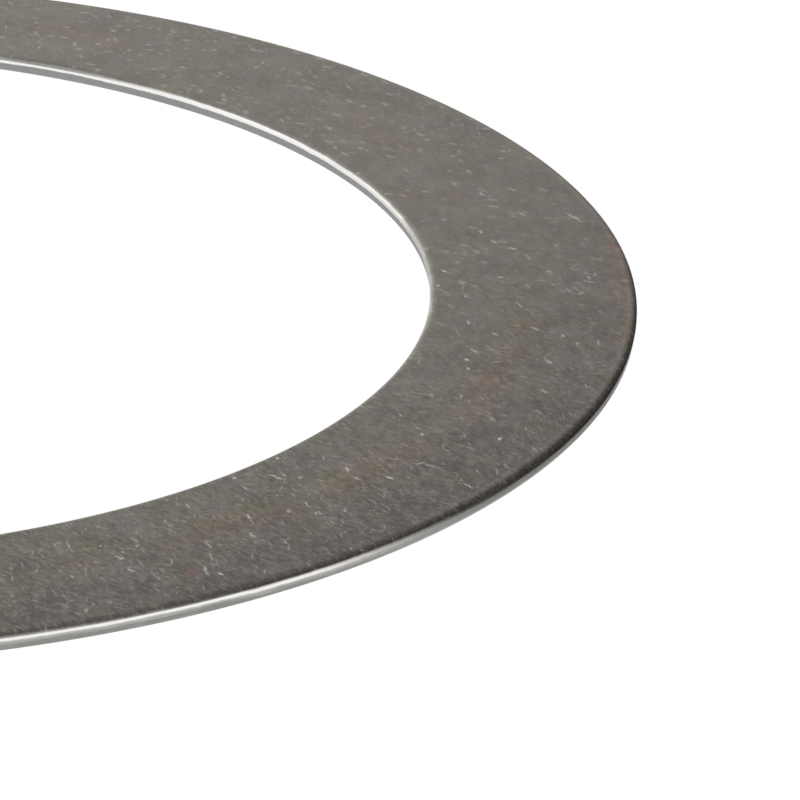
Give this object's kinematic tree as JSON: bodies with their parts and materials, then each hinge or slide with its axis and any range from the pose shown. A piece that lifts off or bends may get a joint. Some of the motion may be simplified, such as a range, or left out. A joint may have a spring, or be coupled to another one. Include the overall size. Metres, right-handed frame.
{
  "type": "thrust washer",
  "caption": "Thin flat ring of hardened steel with rolled and torn blanked edges, a raceway or spacer face for an axial bearing on a shaft.",
  "frame": {"origin": "on the axis of the bore, in the plane of the seat face that the washer lies on", "axes": "+Z along the axis of the bore, out of the raceway face"},
  "size_m": [0.11, 0.11, 0.001],
  "materials": {
    "steel": "hardened, tumbled grey, with temper tint on the faces and bright blanked edges"
  },
  "bodies": {
    "root": {"washer": "steel"}
  },
  "joints": []
}
